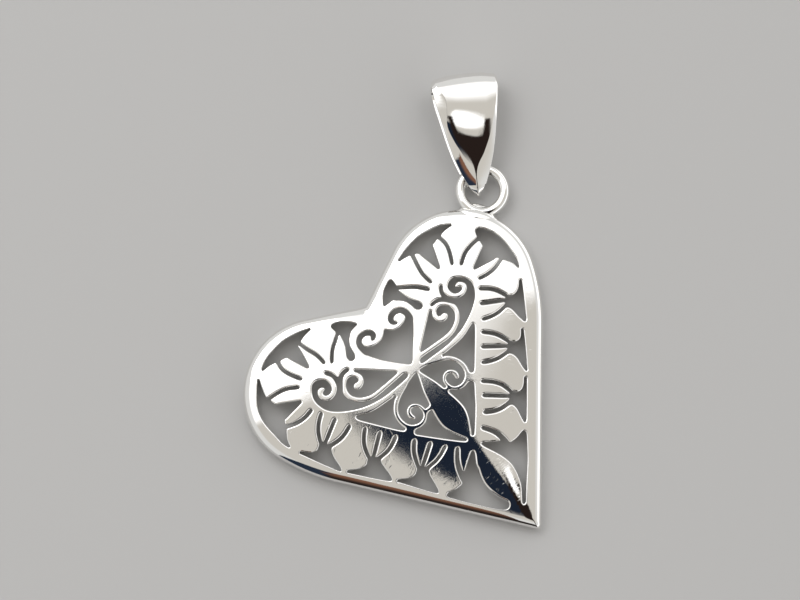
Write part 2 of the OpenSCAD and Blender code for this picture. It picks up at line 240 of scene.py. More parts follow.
@dataclass(frozen=True)
class Silver:
    """Hand-polished silver with fine scratches."""

    name: str
    colour: tuple[float, float, float] = (0.93, 0.92, 0.9)
    roughness: float = 0.012
    worn: float = 0.018
    wear_scale: float = 380.0
    wear_from: float = 0.35
    wear_to: float = 0.75
    speckle: float = 0.25
    speckle_scale: float = 9000.0
    speckle_rough: float = 0.6
    detail: float = 3.0
    scratch: float = 0.25
    strokes: tuple[Strokes, Strokes] = (
        Strokes((0.06, 1.0, 1.0), 32.0, 2600.0), Strokes((1.0, 0.05, 1.0), -14.0, 2100.0))
    bump: float = 0.05
    depth: float = 0.00002

    def make(self) -> bpy.types.Material:
        """Builds the material.

        Returns:
            The material.
        """
        made, bench = blank_material(self.name)
        place = bench.wire(bench.node("ShaderNodeTexCoord", {}, {}), "Object")
        fine = bench.noise(place, self.speckle_scale, self.detail, self.speckle_rough)
        along, across = (bench.noise(bench.stretched(place, stroke.stretch, stroke.turn), stroke.scale)
                         for stroke in self.strokes)
        height = fine * self.speckle + (along + across) * self.scratch
        bump = bench.node("ShaderNodeBump", {},
                          {"Strength": self.bump, "Distance": self.depth, "Height": height})
        wear = bench.noise(place, self.wear_scale, self.detail).above(self.wear_from, self.wear_to)
        shader = bench.node("ShaderNodeBsdfPrincipled", {}, {
            "Base Color": (*self.colour, 1.0), "Metallic": 1.0,
            "Roughness": wear * self.worn + self.roughness, "Normal": bench.wire(bump)})
        bench.node("ShaderNodeOutputMaterial", {}, {"Surface": bench.wire(shader)})
        return made


@dataclass(frozen=True)
class PaleFloor:
    """A plain pale matt floor."""

    name: str = "pale_floor"
    colour: tuple[float, float, float] = (0.52, 0.515, 0.51)
    roughness: float = 0.75

    def make(self) -> bpy.types.Material:
        """Builds the material.

        Returns:
            The material.
        """
        made, bench = blank_material(self.name)
        shader = bench.node("ShaderNodeBsdfPrincipled", {}, {
            "Base Color": (*self.colour, 1.0), "Roughness": self.roughness})
        bench.node("ShaderNodeOutputMaterial", {}, {"Surface": bench.wire(shader)})
        return made


# Shared making

def finish_mesh(name: str, shape: bmesh.types.BMesh, material: bpy.types.Material,
                sharp: float = 38.0) -> bpy.types.Object:
    """Turns a bmesh into an object that is shaded smooth between its sharp edges.

    Args:
        name: the object's name.
        shape: the bmesh, in metres and in the row's frame; it is freed.
        material: the finish.
        sharp: least angle between two faces, in degrees, that shows as an edge.

    Returns:
        The object.
    """
    mesh = bpy.data.meshes.new(name)
    shape.to_mesh(mesh)
    shape.free()
    mesh.materials.append(material)
    mesh.polygons.foreach_set("use_smooth", [True] * len(mesh.polygons))
    mesh.set_sharp_from_angle(angle=math.radians(sharp))
    made = bpy.data.objects.new(name, mesh)
    bpy.context.scene.collection.objects.link(made)
    return made


def extruded(shape: bmesh.types.BMesh, edges: list) -> tuple[list, list]:
    """Extrudes a loop of edges in place.

    Args:
        shape: the bmesh.
        edges: the edges to extrude.

    Returns:
        The new vertices and the new loop's edges.
    """
    made = bmesh.ops.extrude_edge_only(shape, edges=edges)["geom"]
    fresh = {item for item in made if isinstance(item, bmesh.types.BMVert)}
    loop = [item for item in made if isinstance(item, bmesh.types.BMEdge)
            and item.verts[0] in fresh and item.verts[1] in fresh]
    return list(fresh), loop


def lay(shape: bmesh.types.BMesh, matrix: Matrix) -> None:
    """Turns the faces outward, lays the shape in the row's frame, and warns where it isn't closed.

    Args:
        shape: the bmesh of a whole piece.
        matrix: from the shape's own frame to the row's frame.
    """
    bmesh.ops.recalc_face_normals(shape, faces=shape.faces[:])
    bmesh.ops.transform(shape, matrix=matrix, verts=shape.verts[:])
    still_open = sum(1 for edge in shape.edges if not edge.is_manifold)
    if still_open:
        log.warning("%d open edges in a piece of %d faces", still_open, len(shape.faces))


# Heart

@dataclass(frozen=True)
class HeartPlace:
    """How the heart lies in the row's frame."""

    turn: float = 38.0
    shift: tuple[float, float] = (2.17235, -7.03337)

    @cached_property
    def shifted(self) -> Matrix:
        """From millimetres about the middle of the ornament to the row's frame in metres."""
        return Matrix.Scale(MM, 4) @ Matrix.Translation((*self.shift, 0.0))

    @cached_property
    def matrix(self) -> Matrix:
        """From the heart's frame in millimetres to the row's frame in metres."""
        return self.shifted @ Matrix.Rotation(math.radians(self.turn), 4, "Z")


def turned(middle: Vector, radius: float, angle: float) -> Vector:
    """A place on a circle, at an angle in degrees."""
    a = math.radians(angle)
    return middle + radius * Vector((math.cos(a), math.sin(a)))


def arc(middle: Vector, radius: float, start: float, end: float, steps: int) -> list[Vector]:
    """Places along an arc, both ends included."""
    return [turned(middle, radius, start + (end - start) * i / steps) for i in range(steps + 1)]


@dataclass(frozen=True)
class HeartOutline:
    """The heart's outline: round lobes, a slower bend, straight sides and a small round point."""

    lobe_radius: float = 7.6
    lobe_offset: float = 9.0
    lobe_rise: float = 4.0
    bend_radius: float = 19.4
    bend_start: float = -20.0
    point_drop: float = 20.3
    point_round: float = 0.4
    least_round: float = 0.05
    cleft_height: float = 8.1
    slack: float = 0.01
    point_steps: int = 4
    side_steps: int = 34
    bend_steps: int = 14
    lobe_steps: int = 60
    top_steps: int = 12

    @cached_property
    def lobe(self) -> Vector:
        """Centre of the right lobe."""
        return Vector((self.lobe_offset, self.lobe_rise))

    @cached_property
    def bend(self) -> Vector:
        """Centre of the slower bend below the lobe."""
        return turned(self.lobe, self.lobe_radius - self.bend_radius, self.bend_start)

    @cached_property
    def side_angle(self) -> float:
        """Direction of the straight side, in degrees from the horizontal."""
        across, down = self.bend.x, self.bend.y + self.point_drop
        return 90.0 - math.degrees(math.atan(across / down)
                                   + math.asin(self.bend_radius / math.hypot(across, down)))

    @cached_property
    def top_angle(self) -> float:
        """Direction of the straight top, in degrees from the horizontal."""
        rise = self.cleft_height - self.lobe_rise
        return math.degrees(math.asin(self.lobe_radius / math.hypot(self.lobe_offset, rise))
                            - math.atan(rise / self.lobe_offset))

    def half(self, inset: float) -> list[Vector]:
        """The right half's outline, from the point up to the cleft.

        Args:
            inset: distance in from the edge.

        Returns:
            Places that keep their number and order at every inset.
        """
        small = max(self.point_round - inset, self.least_round)
        tip = Vector((0.0, (small + inset) / math.cos(math.radians(self.side_angle)) - self.point_drop))
        foot = self.side_angle - 90.0
        point = arc(tip, small, -90.0, foot, self.point_steps)
        bend = arc(self.bend, self.bend_radius - inset, foot, self.bend_start, self.bend_steps)
        side = [point[-1].lerp(bend[0], i / self.side_steps) for i in range(1, self.side_steps)]
        lobe = arc(self.lobe, self.lobe_radius - inset, self.bend_start, 90.0 + self.top_angle,
                   self.lobe_steps)
        cleft = Vector((0.0, self.cleft_height - inset / math.cos(math.radians(self.top_angle))))
        top = [lobe[-1].lerp(cleft, i / self.top_steps) for i in range(1, self.top_steps + 1)]
        return point + side + bend + lobe[1:] + top

    def ring(self, inset: float) -> list[Vector]:
        """The whole closed outline, from the point round by the right."""
        half = self.half(inset)
        return half + [Vector((-p.x, p.y)) for p in reversed(half[1:-1])]

    @cached_property
    def stretches(self) -> list[tuple[Vector, Vector]]:
        """The two straight stretches of the right half."""
        foot = self.side_angle - 90.0
        return [(Vector((0.0, -self.point_drop)), turned(self.bend, self.bend_radius, foot)),
                (turned(self.lobe, self.lobe_radius, 90.0 + self.top_angle),
                 Vector((0.0, self.cleft_height)))]

    def distance(self, place: Vector) -> float:
        """Distance from a place to the right half's outline.

        Args:
            place: a place in the heart's frame.

        Returns:
            The distance in millimetres.
        """
        found = []
        for start, end in self.stretches:
            way = end - start
            share = min(max((place - start).dot(way) / way.length_squared, 0.0), 1.0)
            found.append((place - start - share * way).length)
        for middle, radius, low, high in (
                (self.lobe, self.lobe_radius, self.bend_start, 90.0 + self.top_angle),
                (self.bend, self.bend_radius, self.side_angle - 90.0, self.bend_start)):
            away = place - middle
            angle = math.degrees(math.atan2(away.y, away.x))
            if low - self.slack <= angle <= high + self.slack:
                found.append(abs(radius - away.length))
        return min(found)


@dataclass(frozen=True)
class Dome:
    """The front's height over the resting surface, which falls softly towards the edge."""

    outline: HeartOutline = HeartOutline()
    crown: float = 2.6
    fall: float = 0.86
    spread: float = 8.5
    steepness: float = 3.0
    level_from: float = 0.81

    def height(self, place: Vector) -> float:
        """Height of the front at a place, without its rolled edge.

        Args:
            place: a place in the heart's frame.

        Returns:
            The height in millimetres.
        """
        away = [max(self.level_from, self.outline.distance(Vector((side * place.x, place.y))))
                for side in (1.0, -1.0)]
        near = [max(0.0, 1.0 - distance / self.spread) for distance in away]
        return self.crown - self.fall * math.hypot(*(share ** self.steepness for share in near))


@dataclass
class SawnGaps:
    """Outlines of the sawn gaps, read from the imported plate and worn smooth."""

    level: float = 1.8
    packed_same: float = 1e-7
    same: float = 0.001
    merge: float = 0.05
    corner_turn: float = 40.0
    corner_arm: float = 0.24
    fine: float = 0.16
    corner_wear: float = 0.35
    marked: int = 1000
    saw: float = 0.26
    round_off: float = 0.18
    crowded: float = 0.4
    near: int = 2
    passes: int = 4
    ease: float = 0.5
    wall_half: float = 1.0
    start: float = 0.004
    far: float = 2.0
    rounds: int = 30
    least_step: float = 0.15
    folded: int = 9
    shorten: float = 0.75
    least_reach: float = 0.006

    def section(self, cad: bpy.types.Object, place: HeartPlace) -> bmesh.types.BMesh:
        """The gaps' outlines as loose loops, in the heart's frame.

        Args:
            cad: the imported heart.
            place: how the heart lies.

        Returns:
            A bmesh with the loops of edges at height 0.
        """
        shape = bmesh.new()
        shape.from_mesh(cad.data)
        bmesh.ops.remove_doubles(shape, verts=shape.verts[:], dist=self.packed_same)
        bmesh.ops.transform(shape, matrix=place.matrix.inverted(), verts=shape.verts[:])
        everything = shape.verts[:] + shape.edges[:] + shape.faces[:]
        bmesh.ops.bisect_plane(shape, geom=everything, dist=ON_PLANE, plane_co=(0.0, 0.0, self.level),
                               plane_no=(0.0, 0.0, 1.0), clear_inner=True, clear_outer=True)
        for vert in shape.verts:
            vert.co.z = 0.0
        bmesh.ops.remove_doubles(shape, verts=shape.verts[:], dist=self.same)
        short = [edge for edge in shape.edges if edge.calc_length() < self.merge]
        bmesh.ops.collapse(shape, edges=short)
        loops = self.loops(shape)
        widest = max(loops, key=lambda loop: max(v.co.x for v in loop) - min(v.co.x for v in loop))
        bmesh.ops.delete(shape, geom=widest, context="VERTS")
        return shape

    @staticmethod
    def loops(shape: bmesh.types.BMesh) -> list[list]:
        """The vertices of each closed loop, in order.

        Args:
            shape: loose closed loops of edges.

        Returns:
            A list of vertices for each loop.
        """
        left = set(shape.verts)
        found = []
        while left:
            vert = min(left, key=lambda v: (v.co.x, v.co.y))
            loop, edge = [], vert.link_edges[0]
            while vert in left:
                left.discard(vert)
                loop.append(vert)
                edge = next(e for e in vert.link_edges if e is not edge)
                vert = edge.other_vert(vert)
            found.append(loop)
        return found

    def mark_corners(self, shape: bmesh.types.BMesh) -> Any:
        """Marks the vertices at which the saw turned sharply between two longer strokes.

        Args:
            shape: the loops.

        Returns:
            The layer that holds the marks.
        """
        corner = shape.verts.layers.int.new("corner")
        for vert in shape.verts:
            arms = [edge.other_vert(vert).co - vert.co for edge in vert.link_edges]
            turn = 180.0 - math.degrees(arms[0].angle(arms[1], 0.0))
            if turn > self.corner_turn and min(arm.length for arm in arms) > self.corner_arm:
                vert[corner] = self.marked
        return corner

    def smooth(self, shape: bmesh.types.BMesh) -> None:
        """Rounds the loops between the corners, and wears the corners a little.

        Args:
            shape: the loops.
        """
        corner = self.mark_corners(shape)
        for _ in range(self.passes):
            long = [edge for edge in shape.edges if edge.calc_length() > self.fine]
            bmesh.ops.subdivide_edges(shape, edges=long, cuts=1)
            loose = [vert for vert in shape.verts if vert[corner] != self.marked]
            bmesh.ops.smooth_vert(shape, verts=loose, factor=self.ease, use_axis_x=True, use_axis_y=True)
        kept = [vert for vert in shape.verts if vert[corner] == self.marked]
        bmesh.ops.smooth_vert(shape, verts=kept, factor=self.corner_wear, use_axis_x=True, use_axis_y=True)
        self.widen(shape)

    def widen(self, shape: bmesh.types.BMesh) -> None:
        """Opens the gaps' thin ends to the width that the saw leaves.

        Args:
            shape: the loops.
        """
        tree = self.walls(shape)
        moves = []
        for loop in self.loops(shape):
            for vert, out in zip(loop, self.ways(loop)):
                wide = tree.ray_cast(vert.co - out * self.start, -out, self.far)[3]
                if wide is not None and wide < self.saw:
                    moves.append((vert, out * (self.saw - wide) / 2))
        for vert, move in moves:
            vert.co += move

    @staticmethod
    def ways(loop: list) -> list[Vector]:
        """The way into the metal at each vertex of a loop.

        Args:
            loop: the loop's vertices in order.

        Returns:
            A level unit vector for each vertex.
        """
        count = len(loop)
        area = sum(loop[i - 1].co.x * loop[i].co.y - loop[i].co.x * loop[i - 1].co.y for i in range(count))
        way = 1.0 if area > 0.0 else -1.0
        found = []
        for i in range(count):
            along = (loop[(i + 1) % count].co - loop[i - 1].co).normalized()
            found.append(Vector((along.y, -along.x, 0.0)) * way)
        return found

    @staticmethod
    def eased(values: list[float], near: int) -> list[float]:
        """Values round a loop, each held to its least neighbour and then blended.

        Args:
            values: a value for each place of the loop.
            near: how many neighbours on each side count.

        Returns:
            The eased values.
        """
        count = len(values)
        window = range(-near, near + 1)
        low = [min(values[(i + k) % count] for k in window) for i in range(count)]
        return [sum(low[(i + k) % count] for k in window) / len(window) for i in range(count)]

    def settle(self, spots: list[Vector], ways: list[Vector], free: list[float]) -> list[float]:
        """Shortens the reach where the line that the worn edge starts from would fold over itself.

        Args:
            spots: the loop's places in order.
            ways: the way into the metal at each place.
            free: how far each place may reach.

        Returns:
            The shortened reaches.
        """
        count = len(spots)
        for _ in range(self.rounds):
            moved = [(spot + way * value).xy for spot, way, value in zip(spots, ways, free)]
            tight = set()
            for i in range(count):
                step = (spots[i] - spots[i - 1]).xy
                if (moved[i] - moved[i - 1]).dot(step) < self.least_step * step.length_squared:
                    tight.update(((i - 1) % count, i))
                for k in range(2, self.folded):
                    j = (i + k) % count
                    if intersect_line_line_2d(moved[i - 1], moved[i], moved[j - 1], moved[j]):
                        tight.update((i + m) % count for m in range(-1, k + 1))
            if not tight:
                break
            for i in tight:
                free[i] *= self.shorten
        return free

    def walls(self, shape: bmesh.types.BMesh, rim: Iterable[Vector] = ()) -> BVHTree:
        """Upright walls along the loops and the rim, for measuring the metal's width.

        Args:
            shape: the loops.
            rim: places of a closed line that gets a wall too.

        Returns:
            The walls, ready for casting rays.
        """
        probe = shape.copy()
        ring = [probe.verts.new((p.x, p.y, 0.0)) for p in rim]
        for i, vert in enumerate(ring):
            probe.edges.new((vert, ring[i - 1]))
        for vert in probe.verts:
            vert.co.z = -self.wall_half
        fresh, _ = extruded(probe, probe.edges[:])
        for vert in fresh:
            vert.co.z = self.wall_half
        tree = BVHTree.FromBMesh(probe)
        probe.free()
        return tree

    def measure(self, shape: bmesh.types.BMesh, rim: list[Vector]) -> None:
        """Notes on each vertex the way into the metal and how far its rounded edge may reach.

        Args:
            shape: the loops; the layers inward and reach are added to it.
            rim: the closed line that no rounded edge may reach.
        """
        tree = self.walls(shape, rim)
        inward = shape.verts.layers.float_vector.new("inward")
        reach = shape.verts.layers.float.new("reach")
        for loop in self.loops(shape):
            free, ways = [], self.ways(loop)
            for vert, out in zip(loop, ways):
                hit = tree.ray_cast(vert.co + out * self.start, out, self.far)[3]
                free.append(min(self.round_off, self.crowded * (self.far if hit is None else hit)))
            free = self.settle([vert.co for vert in loop], ways, self.eased(free, self.near))
            for vert, out, value in zip(loop, ways, free):
                vert[inward] = out
                vert[reach] = max(value, self.least_reach)


@dataclass(frozen=True)
class RimRoll:
    """The rolled edge in section: a slow turn off the front, then a tighter one down to the wall."""

    start: float = 13.0
    turn: float = 42.0
    slow: float = 1.3
    tight: float = 0.7

    @cached_property
    def knee(self) -> float:
        """Distance in from the outline at which the tighter turn begins."""
        return self.tight * (1.0 - math.sin(math.radians(self.turn)))

    def inset(self, tilt: float) -> float:
        """Distance in from the outline at which the edge has a tilt.

        Args:
            tilt: the edge's slope in degrees.

        Returns:
            The distance in millimetres.
        """
        if tilt > self.turn:
            return self.tight * (1.0 - math.sin(math.radians(tilt)))
        fall = math.sin(math.radians(self.turn)) - math.sin(math.radians(tilt))
        return self.knee + self.slow * fall

    def drop(self, inset: float) -> float:
        """How far the edge has dropped below the front at a distance in from the outline.

        Args:
            inset: the distance in millimetres.

        Returns:
            The drop in millimetres.
        """
        first, last = (math.radians(angle) for angle in (self.start, self.turn))
        if inset < self.knee:
            tilt = math.asin(1.0 - max(inset, 0.0) / self.tight)
            return (self.slow * (math.cos(first) - math.cos(last))
                    + self.tight * (math.cos(last) - math.cos(tilt)))
        tilt = math.asin(max(math.sin(last) - (inset - self.knee) / self.slow, math.sin(first)))
        return self.slow * (math.cos(first) - math.cos(tilt))


@dataclass
class HeartPlate:
    """The domed, sawn plate with its rolled edge and hollow back."""

    place: HeartPlace = HeartPlace()
    outline: HeartOutline = HeartOutline()
    dome: Dome = Dome()
    gaps: SawnGaps = field(default_factory=SawnGaps)
    roll: RimRoll = RimRoll()
    rim_inset: float = 0.95
    sheet: float = 1.1
    tuck: float = 0.14
    foot_round: float = 0.12
    longest: float = 0.55
    clear: float = 0.32
    land_blend: int = 3
    lands: list[float] = field(default_factory=list)
    splits: int = 7
    ease: float = 0.5
    low_share: float = 0.75
    foot_cut: float = 0.29
    weld: float = 1e-4
    edge_share: float = 0.8
    edge_tilts: tuple[float, ...] = (0.0, 22.5, 45.0, 67.5, 90.0)
    roll_tilts: tuple[float, ...] = (13.0, 18.0, 24.0, 30.0, 36.0, 42.0, 50.0, 58.0, 66.0, 74.0, 82.0, 90.0)

    def front(self, cad: bpy.types.Object) -> bmesh.types.BMesh:
        """The flat front between the rim and the gaps, filled and cut into small triangles.

        Args:
            cad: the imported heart.

        Returns:
            The front at height 0, in the heart's frame.
        """
        shape = self.gaps.section(cad, self.place)
        self.gaps.smooth(shape)
        self.set_lands(shape)
        rim = self.rim_row(self.rim_inset)
        self.gaps.measure(shape, rim)
        inward = shape.verts.layers.float_vector["inward"]
        reach = shape.verts.layers.float["reach"]
        base = shape.verts.layers.float_vector.new("base")
        mark = shape.verts.layers.int.new("rim")
        for vert in shape.verts:
            vert[base] = vert.co
            vert.co = vert.co + vert[inward] * vert[reach]
        ring = []
        for i, spot in enumerate(rim):
            vert = shape.verts.new((spot.x, spot.y, 0.0))
            vert[mark] = i + 1
            ring.append(vert)
        for i, vert in enumerate(ring):
            shape.edges.new((ring[i - 1], vert))
        bmesh.ops.triangle_fill(shape, use_beauty=True, edges=shape.edges[:], normal=(0.0, 0.0, 1.0))
        self.refine(shape)
        return shape

    def set_lands(self, shape: bmesh.types.BMesh) -> None:
        """Works out how wide the rolled edge is at each place of the rim, beside the gaps.

        Args:
            shape: the gaps' loops.
        """
        tree = self.gaps.walls(shape)
        lands = []
        for outer, inner in zip(self.outline.ring(0.0), self.outline.ring(self.rim_inset)):
            way = (inner - outer).normalized()
            hit = tree.ray_cast((*outer, 0.0), (*way, 0.0), self.gaps.far)[3]
            lands.append(min(1.0, ((self.gaps.far if hit is None else hit) - self.clear) / self.rim_inset))
        self.lands = self.gaps.eased(lands, self.land_blend)

    def rim_row(self, inset: float) -> list[Vector]:
        """Places round the rim at an inset, drawn closer to the outline where a gap is near."""
        share = inset / self.rim_inset
        return [outer.lerp(inner, share * land) for outer, inner, land in
                zip(self.outline.ring(0.0), self.outline.ring(self.rim_inset), self.lands)]

    def refine(self, shape: bmesh.types.BMesh) -> None:
        """Splits long edges inside the front until the triangles are small and even.

        Args:
            shape: the filled front.
        """
        for _ in range(self.splits):
            long = [edge for edge in shape.edges
                    if not edge.is_boundary and edge.calc_length() > self.longest]
            if not long:
                break
            bmesh.ops.subdivide_edges(shape, edges=long, cuts=1)
            bmesh.ops.triangulate(shape, faces=shape.faces[:])
            inner = [edge for edge in shape.edges if not edge.is_boundary]
            bmesh.ops.beautify_fill(shape, faces=shape.faces[:], edges=inner, method="ANGLE")
            loose = [vert for vert in shape.verts if not vert.is_boundary]
            bmesh.ops.smooth_vert(shape, verts=loose, factor=self.ease, use_axis_x=True, use_axis_y=True)

    def round_gaps(self, shape: bmesh.types.BMesh) -> None:
        """Rolls the front over each gap's edge and notes how far each vertex drops.

        Args:
            shape: the front.
        """
        inward = shape.verts.layers.float_vector["inward"]
        reach = shape.verts.layers.float["reach"]
        base = shape.verts.layers.float_vector["base"]
        mark = shape.verts.layers.int["rim"]
        drop = shape.verts.layers.float.new("drop")
        for vert in shape.verts:
            vert[drop] = 0.0
        loop = [edge for edge in shape.edges if edge.is_boundary and not edge.verts[0][mark]]
        for tilt in self.edge_tilts:
            angle = math.radians(tilt)
            fresh, loop = extruded(shape, loop)
            for vert in fresh:
                radius = self.edge_share * vert[reach]
                vert.co = Vector(vert[base]) + Vector(vert[inward]) * radius * (1.0 - math.sin(angle))
                vert[drop] = radius * (1.0 - math.cos(angle))

    def lift(self, shape: bmesh.types.BMesh) -> None:
        """Raises the flat front to the dome, and hangs the hollow back and the gaps' walls under it.

        Args:
            shape: the front, with the gaps' edges rounded.
        """
        drop = shape.verts.layers.float["drop"]
        mark = shape.verts.layers.int["rim"]
        everything = shape.verts[:] + shape.edges[:] + shape.faces[:]
        made = bmesh.ops.extrude_face_region(shape, geom=everything, use_keep_orig=True)["geom"]
        under = {item for item in made if isinstance(item, bmesh.types.BMVert)}
        side = [face for face in shape.faces
                if all(vert[mark] for vert in face.verts)
                and any(vert in under for vert in face.verts)
                and any(vert not in under for vert in face.verts)]
        bmesh.ops.delete(shape, geom=side, context="FACES")
        for vert in shape.verts:
            level = self.dome.height(vert.co.xy)
            if vert in under:
                vert.co.z = level - self.sheet
            else:
                vert.co.z = level - vert[drop] - self.roll.drop(self.outline_inset(vert.co.xy))

    def outline_inset(self, place: Vector) -> float:
        """Distance in from the nearer half's outline."""
        return self.outline.distance(Vector((abs(place.x), place.y)))

    def roll_rim(self, shape: bmesh.types.BMesh) -> None:
        """Rolls the front's edge down to the floor and under, up to the hollow back.

        Args:
            shape: the raised front and the hollow back.
        """
        mark = shape.verts.layers.int["rim"]
        loop = [edge for edge in shape.edges if edge.is_boundary and edge.verts[0][mark]
                and edge.verts[1][mark]]
        top = max(loop, key=lambda edge: edge.verts[0].co.z).verts[0].co.z
        low = [edge for edge in loop if edge.verts[0].co.z < top - self.low_share * self.sheet]
        loop = [edge for edge in loop if edge not in set(low)]
        closing = {vert for edge in low for vert in edge.verts}
        cut = self.foot_round * self.foot_cut
        rows: list[tuple[float, float | None]] = [(self.roll.inset(tilt), None) for tilt in self.roll_tilts]
        rows += [(self.tuck / 2, (self.sheet + self.foot_round) / 2), (self.tuck, self.foot_round),
                 (self.tuck + cut, cut), (self.tuck + self.foot_round, 0.0),
                 (self.rim_inset - self.foot_round, 0.0), (self.rim_inset, self.foot_round)]
        for inset, height in rows:
            ring = self.rim_row(inset)
            fresh, loop = extruded(shape, loop)
            for vert in fresh:
                spot = ring[vert[mark] - 1]
                own = inset * self.lands[vert[mark] - 1]
                z = self.dome.height(spot) - self.roll.drop(own) if height is None else height
                vert.co = (spot.x, spot.y, z)
        fresh, loop = extruded(shape, loop)
        spots = {vert[mark]: vert for vert in closing}
        for vert in fresh:
            vert.co = spots[vert[mark]].co
        bmesh.ops.remove_doubles(shape, verts=list(closing) + fresh, dist=self.weld)

    def build(self, cad: bpy.types.Object) -> bmesh.types.BMesh:
        """Builds the whole plate.

        Args:
            cad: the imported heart.

        Returns:
            The plate, in metres and in the row's frame.
        """
        shape = self.front(cad)
        self.round_gaps(shape)
        self.lift(shape)
        self.roll_rim(shape)
        lay(shape, self.place.matrix)
        return shape

    def dressed(self, cad: bpy.types.Object, silver: bpy.types.Material) -> bpy.types.Object:
        """The plate in its finish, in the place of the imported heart.

        Args:
            cad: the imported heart.
            silver: the finish.

        Returns:
            The piece.
        """
        plate = finish_mesh("heart_plate", self.build(cad), silver)
        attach(plate, "root")
        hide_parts("heart")
        return plate


@dataclass
class JumpRing:
    """The wire ring, and the mound of solder that joins it to the heart's edge."""

    place: HeartPlace = HeartPlace()
    outline: HeartOutline = HeartOutline()
    middle: tuple[float, float] = (16.56, 10.16)
    outer: float = 5.5
    wire: float = 1.04
    level: float = 1.2
    wire_sides: int = 28
    turns: int = 120
    weld: float = 1e-5
    solder: tuple[tuple[float, float, tuple[float, float, float]], ...] = (
        (-0.75, 1.2, (1.0, 2.3, 0.78)), (0.3, 0.95, (0.5, 1.4, 0.5)))
    solder_foot: float = 0.3
    solder_segments: tuple[int, int] = (48, 32)

    def ring(self) -> bmesh.types.BMesh:
        """Spins the ring from the wire's section.

        Returns:
            The ring, in the heart's frame.
        """
        shape = bmesh.new()
        made = bmesh.ops.create_circle(shape, segments=self.wire_sides, radius=self.wire / 2)["verts"]
        stand = Matrix.Translation(((self.outer - self.wire) / 2, 0.0, 0.0)) @ Matrix.Rotation(
            math.pi / 2, 4, "X")
        bmesh.ops.transform(shape, matrix=stand, verts=made)
        bmesh.ops.spin(shape, geom=shape.verts[:] + shape.edges[:], cent=(0.0, 0.0, 0.0),
                       axis=(0.0, 0.0, 1.0), angle=2 * math.pi, steps=self.turns, use_merge=True)
        bmesh.ops.remove_doubles(shape, verts=shape.verts[:], dist=self.weld)
        bmesh.ops.translate(shape, vec=(*self.middle, self.level), verts=shape.verts[:])
        return shape

    def add_mound(self, shape: bmesh.types.BMesh, beyond: float, level: float, half_sizes: tuple) -> None:
        """Adds a round mound of solder, cut level above the floor.

        Args:
            shape: the bmesh, in the heart's frame.
            beyond: how far its middle lies beyond the heart's edge.
            level: height of its middle.
            half_sizes: its half sizes out from the lobe, along the edge and up.
        """
        away = Vector(self.middle) - self.outline.lobe
        spot = self.outline.lobe + away.normalized() * (self.outline.lobe_radius + beyond)
        laid = (Matrix.Translation((*spot, level)) @ Matrix.Rotation(math.atan2(away.y, away.x), 4, "Z")
                @ Matrix.Diagonal((*half_sizes, 1.0)))
        around, upright = self.solder_segments
        mound = bmesh.ops.create_uvsphere(shape, u_segments=around, v_segments=upright, radius=1.0,
                                          matrix=laid)["verts"]
        touched = {item for vert in mound for item in (vert, *vert.link_edges, *vert.link_faces)}
        cut = bmesh.ops.bisect_plane(shape, geom=list(touched), dist=ON_PLANE, clear_inner=True,
                                     plane_co=(0.0, 0.0, self.solder_foot), plane_no=(0.0, 0.0, 1.0))
        edge = [item for item in cut["geom_cut"] if isinstance(item, bmesh.types.BMEdge)]
        bmesh.ops.holes_fill(shape, edges=edge, sides=0)

    def build(self) -> bmesh.types.BMesh:
        """Builds the ring and its solder.

        Returns:
            Both in one, in metres and in the row's frame.
        """
        shape = self.ring()
        for beyond, level, half_sizes in self.solder:
            self.add_mound(shape, beyond, level, half_sizes)
        lay(shape, self.place.matrix)
        return shape

    def dressed(self, silver: bpy.types.Material) -> bpy.types.Object:
        """The ring and its solder in their finish.

        Args:
            silver: the finish.

        Returns:
            The piece.
        """
        ring = finish_mesh("jump_ring", self.build(), silver)
        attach(ring, "root")
        return ring


# Bail

@dataclass(frozen=True)
class Station:
    """The strip at a distance from the tip: half its width, a side facet's width, the panel's shift."""

    along: float
    half_width: float
    facet: float
    lean: float = 0.0


